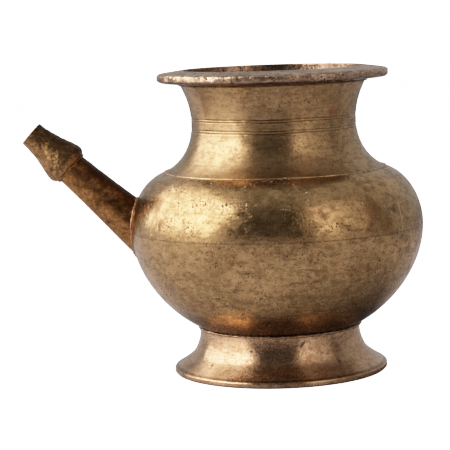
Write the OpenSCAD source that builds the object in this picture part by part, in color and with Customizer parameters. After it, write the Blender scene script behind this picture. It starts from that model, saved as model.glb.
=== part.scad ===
// Spouted water pot in cast and turned brass: a wide flat rim, a waisted neck, a round
// belly made of two halves, a flared hollow foot and a raised spout with a bell nozzle.
// +Z is up, the origin is the middle of the ring the foot stands on, and the spout points to -X.
// Every body of revolution is drawn as a half outline: distance from the axis, height.

/* [Body] */
// Height from the ground to the crest of the rim
pot_h = 152; // [151:0.5:153]
// Largest radius of the belly
belly_r = 73.5; // [72.5:0.5:74.5]
// Height of the widest line, where the two halves of the belly are brazed together
belly_z = 73; // [72:0.5:74]
// Thickness of the sheet of neck, belly and bottom
wall = 2.2; // [2:0.1:2.6]
// Height of the middle of the pot's rounded bottom above the ground
bottom_z = 12; // [11:0.5:13]

/* [Neck] */
// Radius of the narrowest place of the neck
waist_r = 41.3; // [40.5:0.1:42]
// Height of the narrowest place of the neck
waist_z = 125.5; // [125:0.5:126]
// Radius where the neck meets the shoulder
shoulder_r = 55.3; // [54.8:0.1:56]
// Height where the neck meets the shoulder
shoulder_z = 101.5; // [101:0.5:102]
// Heights of the two turned pairs of lines on the neck
line_heights = [122.4, 127.8]; // [120:0.1:130]
// Distance between the two lines of a pair
line_gap = 1.2; // [1.1:0.1:1.4]
// Radius of the tool that cut the lines
line_r = 0.4; // [0.3:0.05:0.5]

/* [Rim] */
// Outer radius of the rim
rim_r = 57.9; // [57:0.1:59]
// Thickness of the rim at its outer edge
rim_edge = 4.5; // [4.2:0.1:4.8]
// Outer radius of the neck just below the rim
throat_r = 46.7; // [46:0.1:47]
// Depth of the rim from its crest to the joint with the neck
rim_depth = 6.8; // [6.4:0.1:7.2]
// Width of the flat crest round the mouth
crest_w = 1.8; // [1.4:0.1:2.2]
// How far the outer edge of the top face lies below the crest
rim_drop = 1.3; // [1:0.1:1.6]
// Length of the neck's collar inside the rim, which centres the two
collar_h = 3; // [2:0.5:4]

/* [Foot] */
// Largest radius of the foot, near the ground
foot_r = 53.9; // [53.4:0.1:54.4]
// Radius of the foot where it meets the bowl
foot_top_r = 40.3; // [39.8:0.1:40.6]
// Radius and height of the place where the foot begins to spread
foot_flare = [43.9, 9.9]; // [9:0.1:45]
// Height of the seam between the foot and the bowl
foot_top_z = 23.4; // [23:0.1:24]
// Thickness of the foot's skirt
foot_wall = 2.4; // [2.2:0.1:2.8]
// Height of the upright band at the bottom of the foot
foot_band = 2.4; // [2:0.1:2.8]
// Width of the ring that the pot stands on
foot_land = 3.8; // [3.4:0.1:4.4]

/* [Spout] */
// Slope of the spout above level, in degrees
spout_rise = 43; // [41:0.5:45]
// Height at which the spout's axis leaves the belly
spout_z = 77.3; // [76.5:0.1:78]
// Length from the belly to the tip, along the axis
spout_l = 67; // [64:0.5:70]
// Outer radius of the tube where it leaves the belly
root_r = 11.1; // [10.8:0.1:11.4]
// Outer radius of the tube at the nozzle
tube_r = 8.4; // [8.2:0.1:8.6]
// Thickness of the spout's tube
tube_wall = 1.8; // [1.6:0.1:2]

/* [Nozzle] */
// Length of the nozzle along the axis
nozzle_l = 26.5; // [25:0.5:28]
// Radius of the nozzle's raised collar
nozzle_r = 11.2; // [10.9:0.1:11.5]
// Radius of the slim end of the bell, just behind the tip
slim_r = 7; // [6.9:0.1:7.3]
// Radius of the nozzle's tip
tip_r = 6.4; // [6.2:0.1:6.8]
// Radius of the pouring hole
bore_r = 4; // [3.6:0.1:4.2]
// Length of the pouring hole
bore_l = 16; // [15:0.5:17]
// How far the tube goes into the nozzle
socket_l = 6; // [5:0.5:6]

/* [Braze] */
// Radius of the beads of braze in the ring seams
bead_r = 0.9; // [0.7:0.1:1]
// Height and width of the bead round the root of the spout
root_bead = 1.2; // [1:0.1:1.4]

/* [Hidden] */
$fn = 96;

rim_z = pot_h - rim_depth;         // joint between rim and neck
edge_z = pot_h - rim_drop;         // top of the rim's outer edge
edge_round = 1;                    // rounding of the rim's outer edge
lip_h = 1.5;                       // straight height of the mouth's edge
mouth_flare = 0.4;                 // how much wider the mouth is than the neck below it
neck_flare = 0.004;                // how fast the neck widens away from its waist, per mm squared
foot_edge = 0.7;                   // slanted edge below the foot's band
land_r = foot_r - foot_edge;       // outer radius of the standing ring
land_in = land_r - foot_land;      // inner radius of the standing ring
ridge = 0.5;                       // width and height of the slanted ridge above the foot's band
tuck_step = 0.3;                   // how far the bowl stands out over the top of the foot
foot_rise = 3;                     // extra height of the foot before the bowl is taken off it
lap_h = 3;                         // height of the belly's half lap
proud = 0.1;                       // how far the belly's bead stands out
corner = 0.3;                      // how far the rim's bead lies out of its corner
inside = 18;                       // length of tube drawn inside the belly, before trimming
root_taper = 0.075;                // how fast the tube widens inside the belly
tube_sag = 0.9;                    // how much slimmer the tube is than a straight cone
root_sink = 0.5;                   // depth below the belly's widest radius where the spout is measured from
nozzle_h = spout_l - nozzle_l;     // start of the nozzle along the axis
tip_l = 3.8;                       // length of the nozzle's rounded tip
far = 200;                         // larger than the pot

// ---- curves ----

function direction(angle) = [cos(angle), sin(angle)];

// A smooth curve from p to q. It leaves p at angle a and reaches q at angle b, and
// p_pull and q_pull say how long it holds each of those directions.
function curve(p, a, p_pull, q, b, q_pull, steps) = [
    for (i = [0:steps])
        let (t = i / steps, u = 1 - t)
            u * u * u * p + 3 * u * u * t * (p + p_pull * direction(a))
            + 3 * u * t * t * (q - q_pull * direction(b)) + t * t * t * q];

// Points of an arc round a middle, from angle a to angle b
function arc(middle, r, a, b, steps = 4) = [
    for (i = [0:steps]) middle + r * direction(a + (b - a) * i / steps)];

// The same outline moved sideways by d, to the left of its direction of travel
function beside(line, d) = [
    for (i = [0:len(line) - 1])
        let (a = line[max(i - 1, 0)], b = line[min(i + 1, len(line) - 1)], along = (b - a) / norm(b - a))
            line[i] + d * [-along[1], along[0]]];

function without_first(line) = [for (i = [1:len(line) - 1]) line[i]];
function without_last(line) = [for (i = [0:len(line) - 2]) line[i]];
function backwards(line) = [for (i = [len(line) - 1:-1:0]) line[i]];

// ---- outlines, from the rim down ----

rim_joint = [throat_r, rim_z];
waist = [waist_r, waist_z];
shoulder_top = [shoulder_r, shoulder_z];
widest = [belly_r, belly_z];
tuck = [foot_top_r + tuck_step, foot_top_z];
bottom = [0, bottom_z];

neck_line = concat(curve(rim_joint, -118, 7, waist, -90, 7.3, 10),
                   without_first(curve(waist, -90, 11, shoulder_top, -27, 10, 12)));
upper_line = curve(shoulder_top, -17, 12.8, widest, -90, 10.8, 14);
lower_line = curve(widest, -90, 21.2, tuck, -153, 19.2, 18);
bottom_line = curve(tuck, -153, 16, bottom, -180, 18, 10);
body_line = concat(neck_line, without_first(upper_line), without_first(lower_line),
                   without_first(bottom_line));
mouth_r = throat_r - wall + mouth_flare;   // inner radius of the mouth at the crest
belly_seam = [belly_r + proud - bead_r, belly_z];   // middle of the belly's bead
hollow_line = beside(body_line, -wall);

foot_line = concat(curve([foot_top_r, foot_top_z], -93, 6, foot_flare, -54, 3, 8),
                   without_first(curve(foot_flare, -54, 3, [foot_r - ridge, foot_band + ridge], -30, 3, 8)));
skirt_line = beside(foot_line, -foot_wall);

// Everything inside the outer surface of neck, belly and bottom, moved outwards by grow
module body_half(grow = 0) {
    polygon(concat([[0, pot_h], [throat_r + grow, pot_h]], without_last(beside(body_line, grow)),
                   [[0, bottom_z - grow]]));
}

// The water space, open at the mouth
module hollow_half() {
    polygon(concat([[0, far], [mouth_r, far], [mouth_r, pot_h - lip_h], [throat_r - wall, rim_z]],
                   without_first(without_last(hollow_line)), [[0, bottom_z + wall]]));
}

module wall_half() {
    difference() {
        body_half();
        hollow_half();
    }
}

// All heights from low to high, out to r_out
module band(low, high, r_out = far) {
    translate([0, low]) square([r_out, high - low]);
}

// The same with a step on top, lap_h high and out to lap_r, which the next piece fits over
module lapped_band(low, high, lap_r, lap_h) {
    polygon([[0, low], [far, low], [far, high], [lap_r, high], [lap_r, high + lap_h], [0, high + lap_h]]);
}

module bead_at(place, r = bead_r) {
    translate(place) circle(r = r, $fn = 32);
}

// ---- spout, drawn along its own axis ----

tube_line = [for (i = [0:6]) let (t = i / 6)
    [root_r * (1 - t) + tube_r * t - tube_sag * t * (1 - t), t * nozzle_h]];
root_end_r = root_r + root_taper * inside;   // outer radius of the tube's inner end
bell_line = concat(
    [[nozzle_r - 1.9, nozzle_h + 0.6], [nozzle_r - 0.4, nozzle_h + 2.3]],
    curve([nozzle_r, nozzle_h + 4], 95, 5, [slim_r, spout_l - tip_l], 96, 9, 12),
    curve([slim_r - 0.1, spout_l - tip_l / 2], 100, 0.9, [tip_r, spout_l], 150, 0.6, 4));

module on_spout() {
    translate([root_sink - belly_r, 0, spout_z]) rotate([0, spout_rise - 90, 0]) children();
}

// The tube's outside as a full solid, moved outwards by grow
module tube_solid(grow = 0) {
    rotate_extrude()
        polygon(concat([[0, -inside], [root_end_r + grow, -inside]],
                       [for (p = tube_line) p + [grow, 0]],
                       [[tube_r + grow, nozzle_h + socket_l], [0, nozzle_h + socket_l]]));
}

module tube_hole() {
    rotate_extrude()
        polygon(concat([[0, -inside - 1], [root_end_r - tube_wall, -inside - 1]],
                       [for (p = tube_line) p - [tube_wall, 0]],
                       [[tube_r - tube_wall, nozzle_h + far], [0, nozzle_h + far]]));
}

// ---- sub-parts ----

module rim_half() {
    round_r = rim_r - edge_round;
    difference() {
        polygon(concat([[0, pot_h], [mouth_r + crest_w, pot_h]],
                       arc([round_r, edge_z - edge_round], edge_round, 85, 0),
                       arc([round_r, edge_z - rim_edge + edge_round], edge_round, 0, -80),
                       [[throat_r, rim_z], [0, rim_z]]));
        hollow_half();
    }
}

// The neck's heights, with the upright collar that the rim drops over
module neck_zone() {
    lapped_band(shoulder_z, rim_z, throat_r - wall / 2, collar_h);
}

module rim_ring() {
    color("#a58a5a")
        rotate_extrude() difference() {
            rim_half();
            neck_zone();
        }
}

module rim_braze() {
    color("#5e4a2c")
        rotate_extrude() difference() {
            bead_at(rim_joint + [corner, -corner]);
            rim_half();
            body_half();
        }
}

module neck() {
    color("#9a7f4a")
        rotate_extrude() difference() {
            intersection() {
                wall_half();
                neck_zone();
            }
            bead_at(shoulder_top);
            for (z = line_heights, side = [-1, 1]) {
                line_in = waist_r + neck_flare * pow(z - waist_z, 2) + line_r / 2;
                bead_at([line_in, z + side * line_gap / 2], line_r);
            }
        }
}

module shoulder_braze() {
    color("#6b5530")
        rotate_extrude() bead_at(shoulder_top);
}

// The bowl's heights, with the half lap that centres the two halves of the belly
module bowl_zone() {
    lapped_band(0, belly_z, belly_r - wall / 2 - proud, lap_h);
}

module shoulder() {
    color("#8f7543")
        difference() {
            rotate_extrude() difference() {
                intersection() {
                    wall_half();
                    band(belly_z, shoulder_z);
                }
                bowl_zone();
                bead_at(shoulder_top);
                bead_at(belly_seam);
            }
            on_spout() tube_solid();
        }
}

module belly_braze() {
    color("#7a6236")
        difference() {
            rotate_extrude() bead_at(belly_seam);
            on_spout() tube_solid();
            spout_root_bead();
        }
}

module bowl() {
    color("#8a7040")
        difference() {
            rotate_extrude() difference() {
                intersection() {
                    wall_half();
                    bowl_zone();
                }
                bead_at(belly_seam);
            }
            on_spout() tube_solid();
        }
}

module foot_half() {
    difference() {
        polygon(concat([[foot_top_r, foot_top_z + foot_rise]], foot_line,
                       [[foot_r, foot_band], [foot_r, foot_edge], [land_r, 0], [land_in, 0],
                        [land_in - foot_edge, foot_edge]],
                       backwards(skirt_line), [[foot_top_r - foot_wall, foot_top_z + foot_rise]]));
        body_half();
    }
}

module foot() {
    color("#a37a52")
        rotate_extrude() foot_half();
}

module foot_braze() {
    color("#8d6a45")
        rotate_extrude() difference() {
            bead_at([foot_top_r + bead_r / 2, foot_top_z - 3 * bead_r / 4]);
            body_half();
            foot_half();
            band(0, foot_top_z + foot_rise, foot_top_r - bead_r / 2);
        }
}

module spout_root_bead() {
    difference() {
        union() {
            for (k = [0, 1])
                intersection() {
                    rotate_extrude() body_half(root_bead * (1 - 0.5 * k));
                    on_spout() tube_solid(root_bead * (0.5 + 0.5 * k));
                }
        }
        rotate_extrude() body_half();
        on_spout() tube_solid();
    }
}

module spout_root_braze() {
    color("#b07a58")
        spout_root_bead();
}

module spout_tube() {
    color("#7c5c34")
        difference() {
            on_spout() difference() {
                tube_solid();
                tube_hole();
            }
            rotate_extrude() hollow_half();
        }
}

module nozzle_braze() {
    color("#5a4526")
        on_spout() rotate_extrude() difference() {
            bead_at([tube_r + proud, nozzle_h]);
            band(-far, nozzle_h + socket_l, tube_r);
            nozzle_half();
            polygon(concat([[0, 0]], tube_line, [[0, nozzle_h]]));
        }
}

module nozzle_half() {
    difference() {
        polygon(concat([[0, nozzle_h], [tube_r + 0.3, nozzle_h]], bell_line, [[0, spout_l]]));
        band(nozzle_h - 1, nozzle_h + socket_l, tube_r);
        polygon([[0, nozzle_h], [tube_r - tube_wall, nozzle_h], [tube_r - tube_wall, nozzle_h + socket_l],
                 [bore_r, spout_l - bore_l], [0, spout_l - bore_l]]);
        band(nozzle_h, spout_l + 1, bore_r);
    }
}

module spout_nozzle() {
    color("#6a5230")
        on_spout() rotate_extrude() nozzle_half();
}

rim_ring();
rim_braze();
neck();
shoulder_braze();
shoulder();
belly_braze();
bowl();
foot_braze();
foot();
spout_root_braze();
spout_tube();
nozzle_braze();
spout_nozzle();
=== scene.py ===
import math

import bpy
import numpy as np
from mathutils import Matrix, Vector


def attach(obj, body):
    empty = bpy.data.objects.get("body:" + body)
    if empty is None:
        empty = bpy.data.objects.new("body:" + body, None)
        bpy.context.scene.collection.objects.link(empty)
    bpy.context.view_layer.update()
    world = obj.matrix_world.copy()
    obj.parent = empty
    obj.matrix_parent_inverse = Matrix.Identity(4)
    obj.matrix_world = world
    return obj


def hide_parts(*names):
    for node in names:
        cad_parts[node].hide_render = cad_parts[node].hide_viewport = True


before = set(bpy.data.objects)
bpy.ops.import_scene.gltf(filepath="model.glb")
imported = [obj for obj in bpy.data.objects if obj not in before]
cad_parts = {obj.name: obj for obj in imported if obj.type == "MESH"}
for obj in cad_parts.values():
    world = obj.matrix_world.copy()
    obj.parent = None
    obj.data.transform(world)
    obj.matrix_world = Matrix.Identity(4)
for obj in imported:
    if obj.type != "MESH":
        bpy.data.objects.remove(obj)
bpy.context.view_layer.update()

# ---- The studio ----
# A pale floor with its own light, a wide softbox on the left, a weaker one on the right and a pale
# room behind. The camera stands just above the rim's height, nine tenths of a metre away, and looks
# a little down.
mm = 0.001


def set_camera(distance, height, turn, tilt, lean, view_angle):
    """The camera, with its place in metres and its turns and view in degrees."""
    data = bpy.data.cameras.new("camera")
    data.sensor_width = 36
    data.lens = 18 / math.tan(math.radians(view_angle) / 2)
    data.clip_end = 20
    camera = bpy.data.objects.new("camera", data)
    bpy.context.scene.collection.objects.link(camera)
    camera.location = (0, -distance, height)
    turned = Matrix.Rotation(math.radians(-turn), 3, "Z")
    tilted = Matrix.Rotation(math.radians(90 - tilt), 3, "X")
    leant = Matrix.Rotation(math.radians(lean), 3, "Z")
    camera.rotation_euler = (turned @ tilted @ leant).to_euler()
    bpy.context.scene.camera = camera


def add(tree, kind, inputs=None, **settings):
    """A node of this kind, with its settings, and its inputs set or wired by name or number."""
    node = tree.nodes.new(kind)
    for name, value in settings.items():
        setattr(node, name, value)
    for name, value in (inputs or {}).items():
        socket = node.inputs[name]
        if isinstance(value, bpy.types.NodeSocket):
            tree.links.new(value, socket)
        else:
            socket.default_value = value
    return node


def set_softbox(name, azimuth, height_angle, distance, width, tall, power, colour, fade):
    """A softbox that faces the pot, with a glow from fade[0] at one side to fade[1] at the other."""
    data = bpy.data.lights.new(name, "AREA")
    data.shape = "RECTANGLE"
    data.size, data.size_y = width, tall
    data.energy = power
    data.color = colour
    data.use_nodes = True
    tree = data.node_tree
    across = add(tree, "ShaderNodeSeparateXYZ",
                 {0: add(tree, "ShaderNodeNewGeometry").outputs["Parametric"]}).outputs[0]
    ramp = add(tree, "ShaderNodeMapRange", {0: across, 1: 0.0, 2: 0.75, 3: fade[0], 4: fade[1]},
               interpolation_type="SMOOTHSTEP")
    tree.links.new(ramp.outputs[0], tree.nodes["Emission"].inputs["Strength"])
    light = bpy.data.objects.new(name, data)
    bpy.context.scene.collection.objects.link(light)
    a, e = math.radians(azimuth), math.radians(height_angle)
    towards = Vector((math.sin(a) * math.cos(e), -math.cos(a) * math.cos(e), math.sin(e)))
    pot_middle = Vector((0, 0, 80 * mm))
    light.location = pot_middle + towards * distance
    light.rotation_euler = towards.to_track_quat("Z", "Y").to_euler()
    light.visible_camera = False
    return light


def set_room(front, back, above, white):
    """Pale behind the pot, dim on the side the camera stands and dim above; plain white to look at."""
    world = bpy.data.worlds.new("room")
    bpy.context.scene.world = world
    world.use_nodes = True
    tree = world.node_tree
    way = add(tree, "ShaderNodeSeparateXYZ", {0: add(tree, "ShaderNodeTexCoord").outputs["Generated"]})
    depth = add(tree, "ShaderNodeMapRange", {0: way.outputs["Y"], 1: -0.45, 2: 0.5, 3: front, 4: back},
                interpolation_type="SMOOTHSTEP")
    top = add(tree, "ShaderNodeMapRange", {0: way.outputs["Z"], 1: 0.6, 2: 0.95, 3: 0.0, 4: 1.0},
              interpolation_type="SMOOTHSTEP")
    glow = add(tree, "ShaderNodeMix", {0: top.outputs[0], 2: depth.outputs[0], 3: above})
    seen = add(tree, "ShaderNodeMix",
               {0: add(tree, "ShaderNodeLightPath").outputs["Is Camera Ray"], 2: glow.outputs[0], 3: white})
    tree.nodes["Background"].inputs["Color"].default_value = (1, 1, 1, 1)
    tree.links.new(seen.outputs[0], tree.nodes["Background"].inputs["Strength"])


def lay_floor(half, grey, glow):
    """Paper that the metal mirrors as grey, with a glow for the camera alone that makes it pale."""
    mesh = bpy.data.meshes.new("floor")
    corners = [(-half, -half, 0), (half, -half, 0), (half, half, 0), (-half, half, 0)]
    mesh.from_pydata(corners, [], [(0, 1, 2, 3)])
    floor = bpy.data.objects.new("floor", mesh)
    bpy.context.scene.collection.objects.link(floor)
    paper = bpy.data.materials.new("pale paper")
    paper.use_nodes = True
    tree = paper.node_tree
    shader = tree.nodes["Principled BSDF"]
    shader.inputs["Base Color"].default_value = (*grey, 1)
    shader.inputs["Roughness"].default_value = 0.9
    shader.inputs["Specular IOR Level"].default_value = 0.0
    shader.inputs["Emission Color"].default_value = (1, 1, 1, 1)
    seen = add(tree, "ShaderNodeLightPath").outputs["Is Camera Ray"]
    shown = add(tree, "ShaderNodeMath", {0: seen, 1: glow}, operation="MULTIPLY").outputs[0]
    tree.links.new(shown, shader.inputs["Emission Strength"])
    mesh.materials.append(paper)


def set_film(white, speed, contrast):
    """A gentle film curve: 1 - exp(-(speed * light) ** contrast), which is full at white."""

    def shown(light):
        return 1 - math.exp(-(speed * light) ** contrast)

    view = bpy.context.scene.view_settings
    view.view_transform = "Standard"
    view.use_curve_mapping = True
    film = view.curve_mapping
    film.white_level = (white, white, white)
    points = film.curves[3].points
    points[0].location = (0, 0)
    points[1].location = (1, 1)
    for x in (0.004, 0.012, 0.025, 0.05, 0.09, 0.15, 0.25, 0.4, 0.65):
        points.new(x, shown(white * x) / shown(white))
    film.update()


set_camera(distance=0.909, height=0.1846, turn=-1.645, tilt=6.96, lean=-2.0, view_angle=14.12)
set_softbox("left softbox", -87.5, 30, 1.2, 1.84, 1.12, 38, (1, 0.935, 0.87), (0.6, 1.0))
set_softbox("right softbox", 54, 24, 1.4, 1.25, 1.1, 9, (1, 0.90, 0.83), (1.0, 0.35))
floor_light = set_softbox("floor light", -90, 70, 1.1, 1.0, 1.0, 36, (1, 1, 1), (1.0, 1.0))
floor_light.visible_glossy = False
set_room(front=0.045, back=0.55, above=0.5, white=4.0)
lay_floor(half=4, grey=(0.23, 0.224, 0.238), glow=3.0)
set_film(white=4.0, speed=1.15, contrast=1.15)

# ---- The foot ----
# A flared, hollow skirt of cast brass, turned on a lathe. It stands on a narrow flat ring with an
# upright band above it, and fine tool marks run round its outside.


def heading(angle):
    """The unit step (radius, height) at an angle in degrees from straight out."""
    return np.array((math.cos(math.radians(angle)), math.sin(math.radians(angle))))


def bend(p, a, p_pull, q, b, q_pull, step=0.25):
    """Points (radius, height) in mm from p, leaving at angle a, to q, reached at angle b."""
    p, q = np.array(p, float), np.array(q, float)
    t = np.linspace(0, 1, int(np.hypot(*(q - p)) / step) + 2)[:, None]
    u = 1 - t
    return (u ** 3 * p + 3 * u * u * t * (p + p_pull * heading(a))
            + 3 * u * t * t * (q - q_pull * heading(b)) + t ** 3 * q)


def straight(*corners, step=0.7):
    """Points in mm along straight lines from corner to corner."""
    corners = np.array(corners, float)
    runs = []
    for p, q in zip(corners, corners[1:]):
        runs.append(np.linspace(p, q, int(np.hypot(*(q - p)) / step) + 2)[:-1])
    return np.vstack([*runs, corners[-1:]])


def beside(line, d):
    """The same line moved d mm to its left."""
    along = np.gradient(line, axis=0)
    along /= np.linalg.norm(along, axis=1)[:, None]
    return line + d * np.column_stack((-along[:, 1], along[:, 0]))


def joined(*lines):
    """One closed half outline without repeated points."""
    points = np.vstack([*lines, lines[0][:1]])
    far_enough = np.linalg.norm(np.diff(points, axis=0), axis=1) > 0.01
    return points[np.concatenate(([True], far_enough))]


def turning_rule():
    """Geometry Nodes: carries a half outline round the axis, then dents, marks and roughens it.
    The points are a grid with a row for each step round, and the last row is merged with the first."""
    tree = bpy.data.node_groups.new("turning", "GeometryNodeTree")
    for name, kind in (("Outline", "Geometry"), ("Outline points", "Int"), ("Steps round", "Int"),
                       ("Dent depth", "Float"), ("Dent scale", "Float"), ("Mark depth", "Float"),
                       ("Rough depth", "Float"), ("Rough scale", "Float"), ("Rough from radius", "Float"),
                       ("Rough to radius", "Float"), ("Shift", "Vector"), ("Lean", "Float"),
                       ("Metal", "Material")):
        tree.interface.new_socket(name, in_out="INPUT", socket_type=f"NodeSocket{kind}")
    tree.interface.new_socket("Piece", in_out="OUTPUT", socket_type="NodeSocketGeometry")
    given = add(tree, "NodeGroupInput").outputs
    count, steps = given["Outline points"], given["Steps round"]

    rows = add(tree, "FunctionNodeIntegerMath", {0: steps, 1: 1}, operation="ADD").outputs[0]
    grid = add(tree, "GeometryNodeMeshGrid", {0: 1.0, 1: 1.0, 2: rows, 3: count})
    index = add(tree, "GeometryNodeInputIndex").outputs[0]
    row = add(tree, "FunctionNodeIntegerMath", {0: index, 1: count}, operation="DIVIDE_FLOOR").outputs[0]
    column = add(tree, "FunctionNodeIntegerMath", {0: index, 1: count}, operation="MODULO").outputs[0]
    place = add(tree, "GeometryNodeInputPosition").outputs[0]
    drawn = add(tree, "GeometryNodeSampleIndex", {0: given["Outline"], 2: column}, data_type="FLOAT_VECTOR")
    tree.links.new(place, drawn.inputs[1])
    half = add(tree, "ShaderNodeSeparateXYZ", {0: drawn.outputs[0]}).outputs
    share = add(tree, "ShaderNodeMath", {0: row, 1: steps}, operation="DIVIDE").outputs[0]
    angle = add(tree, "ShaderNodeMath", {0: share, 1: 2 * math.pi}, operation="MULTIPLY").outputs[0]
    cosine = add(tree, "ShaderNodeMath", {0: angle}, operation="COSINE").outputs[0]
    sine = add(tree, "ShaderNodeMath", {0: angle}, operation="SINE").outputs[0]
    x = add(tree, "ShaderNodeMath", {0: half[0], 1: cosine}, operation="MULTIPLY").outputs[0]
    y = add(tree, "ShaderNodeMath", {0: half[0], 1: sine}, operation="MULTIPLY").outputs[0]
    turned = add(tree, "ShaderNodeCombineXYZ", {0: x, 1: y, 2: half[2]}).outputs[0]
    skin = add(tree, "GeometryNodeSetPosition", {0: grid.outputs[0], 2: turned}).outputs[0]
    laid = add(tree, "GeometryNodeStoreNamedAttribute", {0: skin, 2: "UVMap"}, data_type="FLOAT2",
               domain="CORNER")
    tree.links.new(grid.outputs[1], laid.inputs[3])
    merge_gap, calm_radius, mark_scale, sharp_bend = 0.004, 20, 900.0, 0.9
    closed = add(tree, "GeometryNodeMergeByDistance", {0: laid.outputs[0], 2: merge_gap * mm}).outputs[0]

    def noise(scale, detail, vector=place):
        """A noise between 0 and 1 at every point."""
        return add(tree, "ShaderNodeTexNoise",
                   {"Vector": vector, "Scale": scale, "Detail": detail}).outputs[0]

    def product(a, b):
        """The two values multiplied."""
        return add(tree, "ShaderNodeMath", {0: a, 1: b}, operation="MULTIPLY").outputs[0]

    def sunk(skin, direction, depth):
        """The skin moved by a depth against a direction."""
        back = add(tree, "ShaderNodeVectorMath", {0: direction, "Scale": product(depth, -1.0)},
                   operation="SCALE").outputs[0]
        return add(tree, "GeometryNodeSetPosition", {0: skin, 3: back}).outputs[0]

    flat = add(tree, "ShaderNodeVectorMath", {0: place, 1: (1, 1, 0)}, operation="MULTIPLY").outputs[0]
    outwards = add(tree, "ShaderNodeVectorMath", {0: flat}, operation="NORMALIZE").outputs[0]
    radius = add(tree, "ShaderNodeVectorMath", {0: flat}, operation="LENGTH").outputs[1]
    off_axis = add(tree, "ShaderNodeMapRange",
                   {0: radius, 1: 0.0, 2: calm_radius * mm, 3: 0.0, 4: 1.0}).outputs[0]
    dent = product(product(noise(given["Dent scale"], 1.0), given["Dent depth"]), off_axis)
    dented = sunk(closed, outwards, dent)

    normal = add(tree, "GeometryNodeInputNormal").outputs[0]
    drawn_out = add(tree, "ShaderNodeVectorMath", {0: place, 1: (0.02, 0.02, 1)}, operation="MULTIPLY")
    marks = product(noise(mark_scale, 2.0, drawn_out.outputs[0]), given["Mark depth"])
    where = add(tree, "ShaderNodeMapRange",
                {0: radius, 1: given["Rough from radius"], 2: given["Rough to radius"], 3: 0.0, 4: 1.0},
                interpolation_type="SMOOTHSTEP").outputs[0]
    torn = add(tree, "ShaderNodeMapRange",
               {0: noise(given["Rough scale"], 3.0), 1: 0.35, 2: 0.65, 3: 0.0, 4: 1.0}).outputs[0]
    rough = product(product(torn, given["Rough depth"]), where)
    wear = add(tree, "ShaderNodeMath", {0: marks, 1: rough}, operation="ADD").outputs[0]
    roughened = sunk(dented, normal, wear)

    smooth = add(tree, "GeometryNodeSetShadeSmooth", {0: roughened}, domain="FACE").outputs[0]
    bent = add(tree, "GeometryNodeInputMeshEdgeAngle").outputs[0]
    sharp = add(tree, "FunctionNodeCompare", {0: bent, 1: sharp_bend}, operation="GREATER_THAN").outputs[0]
    edges = add(tree, "GeometryNodeSetShadeSmooth", {0: smooth, 1: sharp, 2: False},
                domain="EDGE").outputs[0]
    leaning = add(tree, "ShaderNodeCombineXYZ", {1: given["Lean"]}).outputs[0]
    stood = add(tree, "GeometryNodeTransform", {0: edges, 1: given["Shift"], 2: leaning}).outputs[0]
    real = add(tree, "GeometryNodeRealizeInstances", {0: stood}).outputs[0]
    done = add(tree, "GeometryNodeSetMaterial", {0: real, 2: given["Metal"]}).outputs[0]
    tree.links.new(done, add(tree, "NodeGroupOutput").inputs[0])
    return tree


def settle(piece):
    """Replaces an object by the plain mesh that its modifiers make of it."""
    bpy.context.view_layer.update()
    made = bpy.data.meshes.new_from_object(piece.evaluated_get(bpy.context.evaluated_depsgraph_get()))
    piece.modifiers.clear()
    piece.data = made
    made.name = piece.name
    return piece


def ruled(name, points, closed_chain, rule, sizes):
    """A piece made by a rule from a chain of points in metres, with the rule's inputs set by name."""
    mesh = bpy.data.meshes.new(name)
    links = [(i, i + 1) for i in range(len(points) - 1)]
    if closed_chain:
        links.append((len(points) - 1, 0))
    mesh.from_pydata([tuple(p) for p in points], links, [])
    piece = bpy.data.objects.new(name, mesh)
    bpy.context.scene.collection.objects.link(piece)
    maker = piece.modifiers.new("maker", "NODES")
    maker.node_group = rule
    sockets = {s.name: s.identifier for s in rule.interface.items_tree if s.in_out == "INPUT"}
    for label, value in sizes.items():
        maker[sockets[label]] = value
    return settle(piece)


turning = turning_rule()


def turn(name, outline, metal, steps=360, dent=0.25, dent_size=45, marks=0.0, rough=0.0, rough_size=3,
         rough_from=0.0, rough_to=1.0, shift=(0, 0, 0), lean=0.0):
    """Turns a half outline in mm into a piece; depths and sizes are in mm, the lean in degrees."""
    r, z = np.array(outline).T
    if np.sum(r * np.roll(z, -1) - np.roll(r, -1) * z) < 0:
        outline = outline[::-1]  # so that the outside runs upwards and the faces look out
    points = [(r * mm, 0, z * mm) for r, z in outline]
    return ruled(name, points, False, turning, {
        "Outline points": len(points), "Steps round": steps, "Dent depth": dent * mm,
        "Dent scale": 1 / (dent_size * mm), "Mark depth": marks * mm, "Rough depth": rough * mm,
        "Rough scale": 1 / (rough_size * mm), "Rough from radius": rough_from * mm,
        "Rough to radius": rough_to * mm, "Shift": tuple(v * mm for v in shift),
        "Lean": math.radians(lean), "Metal": metal})


def hand_over(piece, *nodes, slot):
    """The piece rides on the pot's one body and stands for its CAD nodes."""
    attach(piece, "root")
    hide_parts(*nodes)


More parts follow.
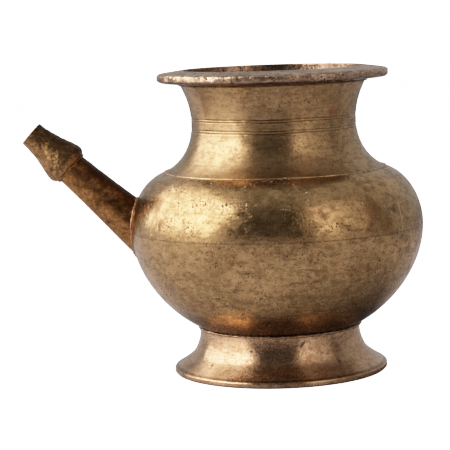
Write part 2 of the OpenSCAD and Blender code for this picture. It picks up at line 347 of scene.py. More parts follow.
def aged_brass(name, gold, olive, ruddy, dark, polish=0.24, brushed=0.0, olive_share=0.6, ruddy_share=0.35,
               stain_share=0.5, stain_size=7, pit_share=0.6, line_depth=0.012, line_size=0.7, grain=0.03,
               scratch_share=0.5, inner=0.75, grime_and_shade=(), dark_marks=(), pitted_marks=(), bright_marks=(),
               ruddy_marks=(), painted_top_shade=0.0, worn=0.55, worn_size=3.4):
    """Brass as it ages: rubbed gold, olive and ruddy patches, stains, pits, pale specks, lathe lines.
    Sizes are in mm. A mark is an azimuth, a height, the radius there, half its length and width, and
    a tilt. Dirt and painted shade lie in level bands, each a height, a reach and a share. The inside is
    dark, and the sides that face up are darkened as painted shade."""
    metal = bpy.data.materials.new(name)
    metal.use_nodes = True
    tree = metal.node_tree
    shader = tree.nodes["Principled BSDF"]
    place = add(tree, "ShaderNodeTexCoord").outputs["Object"]

    def cloud(size, detail=4.0, roughness=0.6, apart=0.0, vector=place):
        """A noise between 0 and 1 with patches of this size; apart moves it away from the others."""
        moved = add(tree, "ShaderNodeVectorMath", {0: vector, 1: (apart, 0.7 * apart, -apart)}).outputs[0]
        return add(tree, "ShaderNodeTexNoise", {"Vector": moved, "Scale": 1 / (size * mm),
                                                "Detail": detail, "Roughness": roughness}).outputs[0]

    def between(value, low, high, full=1.0):
        """A soft step from 0 at low to full at high."""
        return add(tree, "ShaderNodeMapRange", {0: value, 1: low, 2: high, 3: 0.0, 4: full},
                   interpolation_type="SMOOTHSTEP").outputs[0]

    def stretched(*shares):
        """The place on the piece with its three sides scaled, to draw a noise out along some of them."""
        return add(tree, "ShaderNodeVectorMath", {0: place, 1: shares}, operation="MULTIPLY").outputs[0]

    def sums(operation, first, *others):
        """All the values taken together by one operation, from left to right."""
        for other in others:
            first = add(tree, "ShaderNodeMath", {0: first, 1: other}, operation=operation).outputs[0]
        return first

    def tinted(under, over, share):
        """One colour with a share of another laid over it."""
        return add(tree, "ShaderNodeMix", {0: share, 6: under, 7: over}, data_type="RGBA").outputs[2]

    def cells(size, low, high, share_low, share_high, apart):
        """Round spots in some of the cells of a grid of scattered points."""
        moved = add(tree, "ShaderNodeVectorMath", {0: place, 1: (apart, apart, apart)}).outputs[0]
        grid = add(tree, "ShaderNodeTexVoronoi", {"Vector": moved, "Scale": 1 / (size * mm)})
        chance = add(tree, "ShaderNodeSeparateColor", {0: grid.outputs[1]}).outputs[0]
        chosen = between(chance, share_low, share_high)
        return sums("MULTIPLY", chosen, sums("SUBTRACT", 1.0, between(grid.outputs[0], low, high)))

    torn = cloud(1.6, 3.0, apart=0.31)

    def marked(marks):
        """Ragged ellipses on the surface, joined into one mask."""
        mask = None
        for azimuth, height, out, length, width, tilt in marks:
            a = math.radians(azimuth)
            middle = (out * mm * math.sin(a), -out * mm * math.cos(a), height * mm)
            into_metal = 6
            local = add(tree, "ShaderNodeMapping",
                        {0: place, 1: middle, 2: (0, math.radians(-tilt), a),
                         3: (length * mm, into_metal * mm, width * mm)}, vector_type="TEXTURE").outputs[0]
            away = add(tree, "ShaderNodeVectorMath", {0: local}, operation="LENGTH").outputs["Value"]
            one = sums("SUBTRACT", 1.0, between(sums("ADD", away, torn), 1.1, 1.6))
            mask = one if mask is None else sums("MAXIMUM", mask, one)
        return mask

    across = add(tree, "ShaderNodeSeparateXYZ", {0: place}).outputs
    level = stretched(1, 1, 0)
    off_axis = add(tree, "ShaderNodeVectorMath", {0: level}, operation="LENGTH").outputs["Value"]
    around = stretched(0.025, 0.025, 0)
    side = add(tree, "ShaderNodeCombineXYZ", {0: off_axis, 2: across[2]}).outputs[0]
    ringwise = add(tree, "ShaderNodeVectorMath", {0: around, 1: side}).outputs[0]
    lines = cloud(line_size, 3.0, 0.75, apart=0.15, vector=ringwise)
    streaks = cloud(2.2, 6.0, 0.75, apart=0.44, vector=stretched(0.3, 0.3, 1))
    unrolled_radius = 60
    along = sums("MULTIPLY", sums("ARCTAN2", across[0], across[1]), unrolled_radius * mm)
    unrolled = add(tree, "ShaderNodeCombineXYZ", {0: along, 2: across[2]}).outputs[0]

    def scratches(lean, size, low, apart):
        """Fine straight scratches on the unrolled surface, at a lean from level."""
        drawn_out = add(tree, "ShaderNodeMapping",
                        {0: unrolled, 2: (0, math.radians(lean), 0), 3: (0.045, 1, 1)}).outputs[0]
        return between(cloud(size, 2.0, 0.6, apart=apart, vector=drawn_out), low, low + 0.07)

    olive_part = between(cloud(26, 8.0, 0.72), 0.36, 0.64, olive_share)
    ruddy_part = between(cloud(18, 6.0, 0.7, apart=0.5), 0.50, 0.66, ruddy_share)
    rubbed = between(cloud(worn_size, 6.0, 0.75, apart=0.9), 0.46, 0.60)
    patina = between(cloud(6, 9.0, 0.85, apart=0.66), 0.46, 0.62)
    stains = sums("MULTIPLY", between(cloud(stain_size, 9.0, 0.8, apart=0.2), 0.50, 0.64, stain_share),
                  between(cloud(30, 2.0, apart=0.77), 0.36, 0.60))
    speckle = between(cloud(1.0, 3.0, 0.6, apart=0.4), 0.54, 0.70, 0.55)
    pitted = between(cloud(12, 3.0, apart=0.61), 0.50, 0.62)
    if pitted_marks:
        pitted = sums("MAXIMUM", pitted, marked(pitted_marks))
    all_pits = sums("MAXIMUM", cells(2.1, 0.16, 0.34, 0.45, 0.55, 0.1), cells(1.2, 0.2, 0.4, 0.4, 0.5, 0.7))
    pits = sums("MULTIPLY", all_pits, pitted, pit_share)
    specks = sums("MULTIPLY", cells(5.0, 0.04, 0.09, 0.80, 0.84, 0.3), 0.7)
    scuffed = between(cloud(15, 3.0, apart=0.95), 0.40, 0.60, scratch_share)
    all_scratches = sums("MAXIMUM", scratches(78, 0.5, 0.64, 0.1), scratches(-64, 0.6, 0.65, 0.25),
                         scratches(12, 0.5, 0.63, 0.55))
    scored = sums("MULTIPLY", all_scratches, scuffed)

    colour = tinted((*gold, 1), (*olive, 1), olive_part)
    colour = tinted(colour, (*ruddy, 1), ruddy_part)
    colour = tinted(colour, (*olive, 1), sums("MULTIPLY", patina, 0.7))
    colour = tinted(colour, (*gold, 1), sums("MULTIPLY", rubbed, worn))
    colour = tinted(colour, (*olive, 1), between(streaks, 0.50, 0.60, 0.65))
    colour = tinted(colour, (*dark, 1), sums("MAXIMUM", stains, speckle))
    colour = tinted(colour, (*dark, 1), between(lines, 0.55, 0.75, 9 * line_depth))
    colour = tinted(colour, (*gold, 1), scored)
    # Level dark bands: dirt at seams and cut lines, and painted shade under the rim and low on the bowl.
    for height, reach, share in grime_and_shade:
        above = sums("SUBTRACT", across[2], height * mm)
        away = add(tree, "ShaderNodeMath", {0: above}, operation="ABSOLUTE").outputs[0]
        held = sums("SUBTRACT", 1.0, between(away, 0.2 * reach * mm, reach * mm))
        colour = tinted(colour, (*dark, 1), sums("MULTIPLY", held, between(torn, 0.2, 0.5, share)))
    outward = add(tree, "ShaderNodeTexCoord").outputs["Normal"]
    if inner:
        facing = add(tree, "ShaderNodeVectorMath", {0: outward, 1: level},
                     operation="DOT_PRODUCT").outputs["Value"]
        within = sums("SUBTRACT", 1.0, between(facing, -5 * mm, 0.0))
        colour = tinted(colour, (*dark, 1), sums("MULTIPLY", within, inner))
    # Painted shade: the sides that face up are darkened, with a ragged edge.
    if painted_top_shade:
        upper = add(tree, "ShaderNodeSeparateXYZ", {0: outward}).outputs[2]
        drift = sums("MULTIPLY", sums("SUBTRACT", cloud(5, 4.0, 0.7, apart=0.12), 0.5), 2.2)
        ragged = sums("ADD", upper, drift)
        colour = tinted(colour, (*dark, 1), between(ragged, -0.45, 0.65, painted_top_shade))
    bared, blackened, dusty = (0.82, 0.62, 0.40, 1), (0.02, 0.012, 0.007, 1), (0.80, 0.72, 0.60, 1)
    deep = pits
    if ruddy_marks:
        colour = tinted(colour, (*ruddy, 1), sums("MULTIPLY", marked(ruddy_marks), 0.6))
    if bright_marks:
        colour = tinted(colour, bared, sums("MULTIPLY", marked(bright_marks), 0.5))
    if dark_marks:
        deep = sums("MAXIMUM", pits, sums("MULTIPLY", marked(dark_marks), 0.6))
    colour = tinted(colour, blackened, deep)
    colour = tinted(colour, dusty, specks)
    tree.links.new(colour, shader.inputs["Base Color"])

    def weighed(*parts):
        """The sum of values, each given with its weight."""
        return sums("ADD", *(sums("MULTIPLY", value, weight) for value, weight in parts))

    dull = weighed((stains, 0.30), (deep, 0.35), (specks, 0.4), (torn, 0.12), (olive_part, 0.08),
                   (speckle, 0.2), (patina, 0.10), (scored, -0.08))
    torn_share = 0.06  # what the ragged noise adds on average
    tree.links.new(sums("ADD", dull, polish - torn_share), shader.inputs["Roughness"])
    bare = sums("SUBTRACT", 1.0, sums("MULTIPLY", sums("MAXIMUM", deep, specks), 0.7))
    tree.links.new(bare, shader.inputs["Metallic"])

    pebbled, wavy = cloud(0.9, 3.0, 0.6, apart=0.83), cloud(4.5, 3.0, 0.5, apart=0.37)
    relief = weighed((pebbled, grain), (wavy, 3.0 * grain), (lines, line_depth), (deep, -0.12),
                     (stains, -0.03), (scored, -0.02), (streaks, 0.5 * grain))
    bump = add(tree, "ShaderNodeBump", {"Strength": 1.0, "Distance": mm, "Height": relief}).outputs[0]
    tree.links.new(bump, shader.inputs["Normal"])
    if brushed:
        shader.inputs["Anisotropic"].default_value = brushed
        shader.inputs["Anisotropic Rotation"].default_value = 0.25
        round_axis = add(tree, "ShaderNodeTangent", direction_type="RADIAL", axis="Z").outputs[0]
        tree.links.new(round_axis, shader.inputs["Tangent"])
    return metal


foot_radius, foot_band, foot_ridge, foot_chamfer, foot_wall, land_width = 53.9, 2.4, 0.5, 0.7, 2.4, 4.5
foot_top, foot_flare = (40.3, 23.4), (43.9, 9.9)
foot_bottom = (foot_radius - foot_ridge, foot_band + foot_ridge)
land_radius = foot_radius - land_width
foot_side = np.vstack([bend(foot_top, -93, 6, foot_flare, -54, 3, step=0.35),
                       bend(foot_flare, -54, 3, foot_bottom, -30, 3, step=0.35)[1:]])
foot_land = np.vstack([
    straight((foot_radius, foot_band), (foot_radius, foot_chamfer), step=0.3),
    straight((foot_radius - foot_chamfer, 0), (land_radius, 0),
             (land_radius - foot_chamfer, foot_chamfer))])
pot_tuck, pot_bottom = (40.6, 23.4), (0, 12)
bottom_line = bend(pot_tuck, -153, 16, pot_bottom, -180, 18, step=0.8)


def under_bowl(line):
    """Lowers the points that would lie inside the bowl's wall to its outer surface."""
    line = np.array(line)
    no_ceiling = 99
    ceiling = np.interp(line[:, 0], bottom_line[::-1, 0], bottom_line[::-1, 1], right=no_ceiling)
    line[:, 1] = np.minimum(line[:, 1], ceiling)
    return line


def on(line, azimuth, height, length, width, tilt=0):
    """A mark on a side whose outline is given, at an azimuth and a height."""
    up = line[np.argsort(line[:, 1])]
    return azimuth, height, float(np.interp(height, up[:, 1], up[:, 0])), length, width, tilt


foot_metal = aged_brass(
    "rosy turned brass", gold=(0.78, 0.50, 0.31), olive=(0.36, 0.20, 0.10), ruddy=(0.50, 0.24, 0.13),
    dark=(0.08, 0.04, 0.022), polish=0.23, brushed=0.95, olive_share=0.4, ruddy_share=0.5, stain_share=0.15,
    pit_share=0.2, line_depth=0.045, line_size=0.6, grain=0.006,
    grime_and_shade=[(3.3, 0.7, 0.6), (0.2, 0.8, 0.6)],
    dark_marks=[on(foot_side, 40, 9.1, 1.0, 0.8), on(foot_side, -20, 15.7, 1.0, 0.7),
                on(foot_side, 15, 18.6, 2.6, 0.8, 50), on(foot_side, -48, 8.0, 0.9, 0.6)])
foot_inside = beside(foot_side, -foot_wall)[::-1]
foot = turn("turned_foot", joined(under_bowl(foot_side), foot_land, under_bowl(foot_inside)), foot_metal,
            marks=0.05, rough=0.10, rough_size=7, rough_from=foot_radius - 0.9, rough_to=foot_radius - 0.1)
hand_over(foot, "foot", slot="foot_brass")

# ---- The bowl ----
# The lower half of the belly, cast and scraped to a wall of about two millimetres. Its closed, round
# bottom hangs inside the foot, and a step in its upper edge carries the shoulder.
belly_widest, belly_wall = (73.5, 73.0), 2.2
lower_line = bend(belly_widest, -90, 21.2, pot_tuck, -153, 19.2, step=0.75)
bowl_side = np.vstack([lower_line, bottom_line[1:]])
lap_radius, lap_height = 72.4, 3.0
bowl_inside = beside(bowl_side, -belly_wall)
bowl_inside[-1, 0] = 0
lap_top = belly_widest[1] + lap_height
bowl_lap = straight((belly_widest[0] - belly_wall, lap_top), (lap_radius, lap_top),
                    (lap_radius, belly_widest[1]), step=1.0)
shoulder_top = (55.3, 101.5)
upper_line = bend(shoulder_top, -17, 12.8, belly_widest, -90, 10.8, step=0.45)
belly_side = np.vstack([upper_line, lower_line[1:]])
belly_darks = [on(belly_side, -12.3, 90.9, 0.9, 0.6), on(belly_side, -8.3, 90.8, 0.7, 0.5),
               on(belly_side, 8.7, 97.5, 2.6, 0.7, -58), on(belly_side, 54, 64.0, 1.8, 0.7, 70),
               on(belly_side, 150, 70.0, 1.4, 0.8, 20), on(belly_side, -140, 85.0, 1.2, 0.7, -35)]
belly_pitted = [on(belly_side, -35, 79.0, 7.0, 3.5, -40), on(belly_side, -27, 69.0, 7.0, 4.0, -35),
                on(belly_side, -17, 54.0, 6.0, 2.5, -10), on(belly_side, 8, 68.0, 9.0, 5.0, 10),
                on(belly_side, 140, 66.0, 8.0, 4.0, 20), on(belly_side, -110, 60.0, 7.0, 5.0, -15)]
belly_brights = [on(belly_side, -52, 97.2, 4.2, 0.5, -28), on(belly_side, -57, 86.0, 6.5, 0.35, 82),
                 on(belly_side, -52, 80.0, 5.0, 0.3, 95), on(belly_side, -61, 79.0, 5.5, 0.35, 86),
                 on(belly_side, -48, 68.0, 4.5, 0.3, 76), on(belly_side, 55.5, 80.0, 9.0, 0.5, 88),
                 on(belly_side, 52.5, 72.0, 5.0, 0.4, 84), on(belly_side, 130, 80.0, 7.0, 0.4, 80),
                 on(belly_side, -120, 62.0, 6.0, 0.4, 65)]
belly_ruddy = [on(belly_side, 40, 85.0, 7.0, 6.0, 20), on(belly_side, 46, 76.0, 5.0, 4.0),
               on(belly_side, -100, 70.0, 8.0, 5.0, 10), on(belly_side, 160, 88.0, 7.0, 5.0)]
# The wide dark band low on the bowl is painted shade, with dirt at the foot seam; the thin one is seam
# dirt.
belly_metal = aged_brass(
    "old rubbed brass", gold=(0.70, 0.435, 0.215), olive=(0.24, 0.15, 0.066), ruddy=(0.36, 0.165, 0.075),
    dark=(0.10, 0.052, 0.024), polish=0.22, brushed=0.7, ruddy_share=0.5, stain_share=0.55, pit_share=0.85,
    grain=0.02, scratch_share=0.8,
    grime_and_shade=[(24.0, 15.0, 0.9), (73.0, 0.5, 0.5)], dark_marks=belly_darks, pitted_marks=belly_pitted,
    bright_marks=belly_brights, ruddy_marks=belly_ruddy)
bowl = turn("bowl_shell", np.vstack([bowl_side[::-1][:-1], belly_widest, bowl_lap[::-1], bowl_inside[1:]]),
            belly_metal, marks=0.02)


def cut(piece, tool):
    """Takes the tool's space out of a piece, and throws the tool away."""
    knife = piece.modifiers.new("cut", "BOOLEAN")
    knife.operation, knife.solver, knife.object = "DIFFERENCE", "EXACT", tool
    settle(piece)
    bpy.data.objects.remove(tool)


spout_rise, spout_from = 43, (-73.0, 0, 77.3)
pipe_root, pipe_end, pipe_sag, pipe_wall = 11.1, 8.4, 0.9, 1.8
pipe_length, pipe_inside, pipe_taper, pipe_socket = 40.5, 18, 0.075, 6


def pipe_radius(along):
    """The spout pipe's outer radius at a distance from the belly, in mm."""
    share = np.clip(along / pipe_length, 0, 1)
    plain = pipe_root * (1 - share) + pipe_end * share - pipe_sag * share * (1 - share)
    return plain + pipe_taper * np.clip(-along, 0, None)


def pipe_plug():
    """A closed body as large as the pipe, to cut the hole that the pipe is set in."""
    plug_end = 12
    along = np.linspace(-pipe_inside, plug_end, 21)
    side = np.column_stack((pipe_radius(along), along))
    outline = np.vstack([[(0, -pipe_inside)], side, [(0, plug_end)]])
    return turn("pipe_plug", outline, belly_metal, steps=160, dent=0, shift=spout_from,
                lean=spout_rise - 90)


cut(bowl, pipe_plug())
hand_over(bowl, "bowl", slot="belly_brass")

# ---- The solder at the foot ----
# Hard solder run round the seam between the bowl and the foot, and left as it set: a lumpy
# grey-brown bead with granules on it.
bead_radius = 0.9


def bead_rule():
    """Geometry Nodes: lays a bead along a closed path, with slow lumps and small granules."""
    tree = bpy.data.node_groups.new("bead", "GeometryNodeTree")
    for name, kind in (("Path", "Geometry"), ("Radius", "Float"), ("Sides", "Int"), ("Lump depth", "Float"),
                       ("Lump scale", "Float"), ("Granule depth", "Float"), ("Granule scale", "Float"),
                       ("Metal", "Material")):
        tree.interface.new_socket(name, in_out="INPUT", socket_type=f"NodeSocket{kind}")
    tree.interface.new_socket("Bead", in_out="OUTPUT", socket_type="NodeSocketGeometry")
    given = add(tree, "NodeGroupInput").outputs
    path = add(tree, "GeometryNodeMeshToCurve", {0: given["Path"]}).outputs[0]
    section = add(tree, "GeometryNodeCurvePrimitiveCircle",
                  {"Resolution": given["Sides"], "Radius": given["Radius"]}).outputs[0]
    rod = add(tree, "GeometryNodeCurveToMesh", {0: path, 1: section}).outputs[0]
    sunk = None
    for label, detail in (("Lump", 1.0), ("Granule", 2.0)):
        noise = add(tree, "ShaderNodeTexNoise",
                    {"Scale": given[f"{label} scale"], "Detail": detail}).outputs[0]
        steep = add(tree, "ShaderNodeMapRange", {0: noise, 1: 0.35, 2: 0.65, 3: 0.0, 4: -1.0}).outputs[0]
        depth = add(tree, "ShaderNodeMath", {0: steep, 1: given[f"{label} depth"]},
                    operation="MULTIPLY").outputs[0]
        sunk = depth if sunk is None else add(tree, "ShaderNodeMath", {0: sunk, 1: depth}).outputs[0]
    normal = add(tree, "GeometryNodeInputNormal").outputs[0]
    pushed = add(tree, "ShaderNodeVectorMath", {0: normal, "Scale": sunk}, operation="SCALE").outputs[0]
    lumpy = add(tree, "GeometryNodeSetPosition", {0: rod, 3: pushed}).outputs[0]
    smooth = add(tree, "GeometryNodeSetShadeSmooth", {0: lumpy}, domain="FACE").outputs[0]
    real = add(tree, "GeometryNodeRealizeInstances", {0: smooth}).outputs[0]
    done = add(tree, "GeometryNodeSetMaterial", {0: real, 2: given["Metal"]}).outputs[0]
    tree.links.new(done, add(tree, "NodeGroupOutput").inputs[0])
    return tree


bead_laying = bead_rule()


def bead(name, path, metal, radius=bead_radius, sides=14, lump=0.15, lump_size=4, granule=0.1,
         granule_size=1.0):
    """Lays a bead along a closed path of points in mm; depths and sizes are in mm."""
    return ruled(name, np.array(path) * mm, True, bead_laying, {
        "Radius": radius * mm, "Sides": sides, "Lump depth": lump * mm, "Lump scale": 1 / (lump_size * mm),
        "Granule depth": granule * mm, "Granule scale": 1 / (granule_size * mm), "Metal": metal})


def ring(radius, height, steps=720):
    """Points of a level circle round the axis, in mm."""
    angles = np.linspace(0, 2 * np.pi, steps, endpoint=False)
    return np.column_stack((radius * np.cos(angles), radius * np.sin(angles), np.full(steps, height)))


solder_metal = aged_brass(
    "solder on brass", gold=(0.62, 0.42, 0.27), olive=(0.34, 0.22, 0.13), ruddy=(0.38, 0.18, 0.10),
    dark=(0.06, 0.035, 0.02), polish=0.32, stain_share=0.8, stain_size=3, line_depth=0.0, grain=0.06,
    inner=0)
foot_seam_ring = ring(pot_tuck[0] + 0.15, pot_tuck[1] - 0.7)
foot_solder = bead("foot_solder", foot_seam_ring, solder_metal, lump=0.3, lump_size=3.5, granule=0.35,
                   granule_size=1.3)
hand_over(foot_solder, "foot_braze", slot="braze")

# ---- The shoulder ----
# The upper half of the belly. It drops over the step of the bowl, and both halves are brazed together
# along the widest line, where the braze is filed nearly flush.
neck_joint = (50.5, shoulder_top[1])
shoulder_inside = beside(upper_line, -belly_wall)
shoulder_inside = shoulder_inside[shoulder_inside[:, 1] > lap_top]
shoulder_lap = straight(belly_widest, (lap_radius, belly_widest[1]), (lap_radius, lap_top), step=1.0)
shoulder = turn("shoulder_shell", joined(upper_line, shoulder_lap, shoulder_inside[::-1], [neck_joint]),
                belly_metal, marks=0.02)
cut(shoulder, pipe_plug())
hand_over(shoulder, "shoulder", slot="belly_brass")

# ---- The braze at the belly ----
# Hard solder in the seam between the two halves of the belly, filed nearly flush with the brass, so
# that only a faint line shows.
belly_seam_ring = ring(lap_radius + 0.05, belly_widest[1])
belly_seam = bead("belly_seam", belly_seam_ring, solder_metal, lump=0.12, lump_size=9, granule=0.08)
cut(belly_seam, pipe_plug())
hand_over(belly_seam, "belly_braze", slot="braze")

# ---- The neck ----
# A waisted tube with two pairs of fine lines cut into it on the lathe, and a collar on top that
# centres the rim. Its lower edge flares and stands on the shoulder.


def grooved(line, heights, r, depth):
    """Cuts round-bottomed grooves of radius r into a line, depth deep, at these heights."""
    line = np.array(line)
    for height in heights:
        off = np.abs(line[:, 1] - height)
        line[:, 0] -= depth * np.sqrt(np.clip(1 - (off / r) ** 2, 0, 1))
    return line


throat, waist = (46.7, 145.2), (41.3, 125.5)
collar_inside, collar_radius, collar_top = 44.73, 45.6, 148.2
line_pairs, line_apart, groove_radius, groove_depth = (122.4, 127.8), 1.2, 0.4, 0.22
neck_side = np.vstack([bend(throat, -118, 7, waist, -90, 7.3, step=0.2),
                       bend(waist, -90, 11, shoulder_top, -27, 10, step=0.25)[1:]])
neck_lines = [height + side * line_apart / 2 for height in line_pairs for side in (-1, 1)]
neck_inside = beside(neck_side, -belly_wall)[::6]  # fewer points, as nothing fine is cut inside
neck_inside = neck_inside[(neck_inside[:, 1] > shoulder_top[1]) & (neck_inside[:, 1] < throat[1] - 0.5)]
neck_collar = straight((collar_inside, collar_top), (collar_radius, collar_top), (collar_radius, throat[1]),
                       throat, step=1.0)
# The dark band at 145 mm, just under the rim, is painted shade; the bands at the cut lines are dirt.
neck_metal = aged_brass(
    "turned neck brass", gold=(0.62, 0.395, 0.205), olive=(0.29, 0.185, 0.09), ruddy=(0.44, 0.20, 0.08),
    dark=(0.08, 0.045, 0.022), polish=0.3, brushed=0.85, olive_share=0.5, ruddy_share=0.3, stain_share=0.35,
    pit_share=0.35, line_depth=0.045, line_size=0.55, grain=0.012,
    grime_and_shade=[(145.0, 1.0, 0.7)] + [(height, 0.3, 0.7) for height in neck_lines],
    dark_marks=[on(neck_side, 21, 137.2, 1.5, 0.35, 40), on(neck_side, 23.5, 136.0, 1.2, 0.3, -30),
                on(neck_side, 160, 138.0, 1.4, 0.4)],
    pitted_marks=[on(neck_side, azimuth, 141.2, 3.0, 0.6) for azimuth in (-11, -3, 9)],
    ruddy_marks=[on(neck_side, 44, 131.0, 4.0, 3.0), on(neck_side, 37, 135.5, 3.0, 2.0),
                 on(neck_side, 52, 126.0, 3.0, 2.4), on(neck_side, 42, 118.5, 1.6, 1.2),
                 on(neck_side, -150, 130.0, 5.0, 3.0)])
neck = turn("turned_neck", joined(grooved(neck_side, neck_lines, groove_radius, groove_depth), [neck_joint],
                                  neck_inside[::-1], [(throat[0] - belly_wall, throat[1])], neck_collar),
            neck_metal, marks=0.05)
hand_over(neck, "neck", slot="neck_brass")

# ---- The braze at the neck ----
# Brazing metal run round the flared lower edge of the neck, and filed to a smooth raised line that is
# a little brighter than the brass beside it.
seam_metal = aged_brass(
    "filed seam", gold=(0.70, 0.48, 0.27), olive=(0.36, 0.23, 0.12), ruddy=(0.55, 0.32, 0.17),
    dark=(0.05, 0.03, 0.016), polish=0.34, stain_size=4, stain_share=0.7, line_depth=0.0, inner=0)
neck_seam_ring = ring(shoulder_top[0] - 0.1, shoulder_top[1] - 0.1)
neck_seam = bead("neck_seam", neck_seam_ring, seam_metal, radius=0.7, lump=0.3, lump_size=12, granule=0.06)
hand_over(neck_seam, "shoulder_braze", slot="braze")

# ---- The rim ----
# A wide wedge-shaped ring, cast with the mouth and brazed on over the neck's collar. Its outer edge is
# rounded and nicked by use, and its high spots are rubbed bright.


def arc(middle, r, a, b, steps=6):
    """Points of an arc of radius r mm, from angle a to angle b in degrees."""
    return np.array([np.array(middle) + r * heading(x) for x in np.linspace(a, b, steps + 1)])


pot_height, mouth_radius, mouth_lip, mouth_chamfer, crest_radius = 152.0, 44.9, 150.5, 0.2, 46.7
rim_round, round_from, rim_top, rim_under = 1.6, 56.3, 150.7, 146.2
rubbed_edge = (150.4, 57.2)
large_rubs = (-63, -58, -53, -47, -43, -36, -31, 12, 21, 34)
small_rubs = (75, 110, 124, 160, 205, 231, 255)
# The dark band low on the rim is painted shade on the underside of its overhang.
rim_metal = aged_brass(
    "worn rim brass", gold=(0.70, 0.48, 0.34), olive=(0.30, 0.19, 0.13), ruddy=(0.36, 0.19, 0.12),
    dark=(0.06, 0.034, 0.022), polish=0.24, stain_size=3, stain_share=1.0, pit_share=1.0, line_depth=0.02,
    grain=0.10, inner=0.25, grime_and_shade=[(145.6, 2.6, 0.9)],
    bright_marks=[(azimuth, *rubbed_edge, 2.2, 0.9, 4) for azimuth in large_rubs]
    + [(azimuth, *rubbed_edge, 1.5, 0.6, -6) for azimuth in small_rubs])
rim_upper = straight((mouth_radius, mouth_lip), (mouth_radius, pot_height - mouth_chamfer),
                     (mouth_radius + mouth_chamfer, pot_height), (crest_radius, pot_height),
                     (round_from, rim_top), step=0.5)
rim_edge = np.vstack([arc((round_from, rim_top - rim_round), rim_round, 90, 0),
                      arc((round_from, rim_under + rim_round), rim_round, 0, -80)])
rim_below = straight((round_from, rim_under), throat, step=0.6)
rim_seat = straight((collar_radius, throat[1]), (collar_radius, collar_top), (collar_inside, collar_top),
                    step=1.0)
rim = turn("wide_rim", joined(rim_upper, rim_edge, rim_below, rim_seat), rim_metal, steps=540, marks=0.04,
           rough=0.55, rough_size=5, rough_from=55.0, rough_to=57.6)
hand_over(rim, "rim_ring", slot="rim_brass")

# ---- The solder under the rim ----
# The bead that holds the rim on, in the corner below it. It is lumpy, and near black: painted shade for
# the slit under the rim, over dirt that no polishing cloth reaches.
shaded_solder_metal = aged_brass(
    "dark solder with painted shade", gold=(0.26, 0.16, 0.09), olive=(0.14, 0.085, 0.045), ruddy=(0.18, 0.09, 0.05),
    dark=(0.03, 0.018, 0.01), polish=0.45, stain_share=0.9, stain_size=3, line_depth=0.0, grain=0.08,
    inner=0)
rim_fillet_ring = ring(throat[0] + 0.2, throat[1] - 0.1)
rim_fillet = bead("rim_fillet", rim_fillet_ring, shaded_solder_metal, radius=0.75, lump=0.3, lump_size=5,
                  granule=0.2)
hand_over(rim_fillet, "rim_braze", slot="braze")

# ---- The spout ----
# A slim tapered pipe, rolled and brazed, set through the belly and finished flush inside. It is dull
# and mottled, and painted shade darkens its upper side.


def inner_space():
    """The water space as a closed body, to trim the pipe's inner end."""
    top, top_radius = 90, 60
    wall = beside(upper_line, -belly_wall)[8:]  # the part by the neck is left out
    side = np.vstack([[(0, top)], [(top_radius, top)], wall, bowl_inside[1:]])
    return turn("inner_space", side, belly_metal, steps=200)


pipe_along = np.linspace(-pipe_inside, pipe_length, 110)
pipe_side = np.column_stack((pipe_radius(pipe_along), pipe_along))
pipe_metal = aged_brass(
    "dark pipe brass", gold=(0.58, 0.30, 0.115), olive=(0.22, 0.10, 0.034), ruddy=(0.40, 0.14, 0.045),
    dark=(0.06, 0.024, 0.009), polish=0.36, olive_share=0.9, ruddy_share=0.6, stain_share=0.9,
    stain_size=5, pit_share=0.6, line_depth=0.0, grain=0.09, inner=0, painted_top_shade=0.95, worn=0.8, worn_size=2.2)
pipe_bore = pipe_end - pipe_wall
pipe_spigot = straight((pipe_end, pipe_length + 0.3), (pipe_end, pipe_length + pipe_socket),
                       (pipe_bore, pipe_length + pipe_socket))
pipe = turn("spout_pipe", joined(pipe_side, pipe_spigot, (pipe_side - (pipe_wall, 0))[::-3]), pipe_metal,
            steps=200, dent=0.5, dent_size=16, rough=0.12, rough_size=3.5, shift=spout_from,
            lean=spout_rise - 90)
cut(pipe, inner_space())
hand_over(pipe, "spout_tube", slot="spout_brass")

# ---- The braze round the spout ----
# A coppery fillet of brazing metal that closes the joint between pipe and belly all the way round,
# left as it set.


def on_spout(points):
    """Moves points drawn along the spout's own axis to their place on the pot, all in mm."""
    rise = math.radians(90 - spout_rise)
    x, y, z = np.array(points).T
    return np.column_stack((spout_from[0] + x * math.cos(rise) - z * math.sin(rise), y,
                            spout_from[2] + x * math.sin(rise) + z * math.cos(rise)))


def root_path(steps=160):
    """The line where the pipe meets the belly, in mm, found along each line of the pipe by halving."""
    up = belly_side[::-1]
    path = []
    for angle in np.linspace(0, 2 * np.pi, steps, endpoint=False):
        low, high = -pipe_inside, pipe_length
        for _ in range(30):
            along = (low + high) / 2
            r = pipe_radius(along)
            point = on_spout([(r * math.cos(angle), r * math.sin(angle), along)])[0]
            inside = np.hypot(point[0], point[1]) < np.interp(point[2], up[:, 1], up[:, 0])
            low, high = (along, high) if inside else (low, along)
        path.append(point)
    return path


copper_metal = aged_brass(
    "coppery braze", gold=(0.60, 0.34, 0.20), olive=(0.38, 0.22, 0.12), ruddy=(0.50, 0.24, 0.14),
    dark=(0.09, 0.045, 0.025), polish=0.44, stain_size=3, line_depth=0.0, grain=0.08, inner=0)
root_fillet = bead("root_fillet", root_path(), copper_metal, radius=0.85, lump=0.35, lump_size=4,
                   granule=0.25, granule_size=1.2)
hand_over(root_fillet, "spout_root_braze", slot="braze")

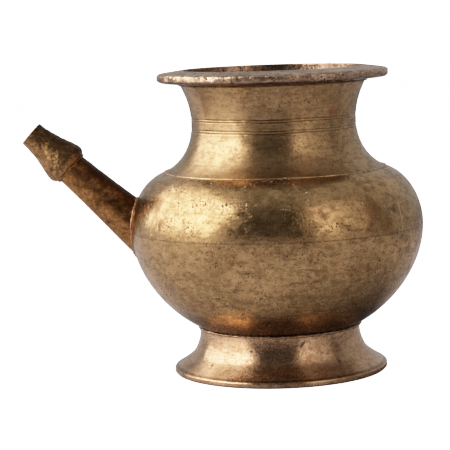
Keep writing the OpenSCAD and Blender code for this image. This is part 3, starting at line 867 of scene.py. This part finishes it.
# ---- The nozzle ----
# A cast, bell-shaped nozzle with a rounded collar. The pipe's end sits in its socket, and it narrows to
# a rounded tip with a plain bored hole. Its face is pitted and dark.
bell_step, bell_tip, bore, bore_length, bore_round = pipe_length, 67.0, 4.0, 16.0, 0.5
bell_lip, bell_radius, slim_radius, tip_radius, tip_length = (9.0, bell_step + 0.2), 11.2, 7.0, 6.4, 3.8
bell_side = np.vstack([
    straight((pipe_end, bell_step), bell_lip, step=0.3),
    bend(bell_lip, 20, 1.4, (bell_radius, bell_step + 3.6), 90, 1.4),
    bend((bell_radius, bell_step + 4), 95, 5, (slim_radius, bell_tip - tip_length), 96, 9),
    bend((slim_radius - 0.1, bell_tip - tip_length / 2), 100, 0.9, (tip_radius, bell_tip), 150, 0.6)])
bell_hole = np.vstack([
    arc((bore + bore_round, bell_tip - bore_round), bore_round, 90, 180),
    straight((bore, bell_tip - 0.6), (bore, bell_tip - bore_length), step=1.0),
    straight((pipe_bore, bell_step + pipe_socket), (pipe_end, bell_step + pipe_socket), step=1.0)])
# The nozzle's upper side is darkened as painted shade.
nozzle_metal = aged_brass(
    "mottled nozzle brass", gold=(0.64, 0.37, 0.17), olive=(0.15, 0.09, 0.04), ruddy=(0.38, 0.13, 0.05),
    dark=(0.045, 0.022, 0.011), polish=0.38, olive_share=0.9, ruddy_share=0.6, stain_share=0.9,
    stain_size=5, pit_share=0.8, line_depth=0.0, grain=0.11, inner=0, painted_top_shade=0.8, worn=0.8, worn_size=1.8)
nozzle = turn("bell_nozzle", joined(bell_side, bell_hole), nozzle_metal, steps=240, dent=0.7, dent_size=9,
              rough=0.25, rough_size=3, rough_from=5, rough_to=7, shift=spout_from, lean=spout_rise - 90)
hand_over(nozzle, "spout_nozzle", slot="nozzle_brass")

# ---- The braze at the nozzle ----
# A small bead in the corner between the pipe and the nozzle's lower face, stained as dark as the
# nozzle itself.
nozzle_fillet_ring = on_spout(ring(pipe_end + 0.1, bell_step, steps=160))
nozzle_fillet = bead("nozzle_fillet", nozzle_fillet_ring, nozzle_metal, lump=0.25, lump_size=3, granule=0.2)
hand_over(nozzle_fillet, "nozzle_braze", slot="braze")
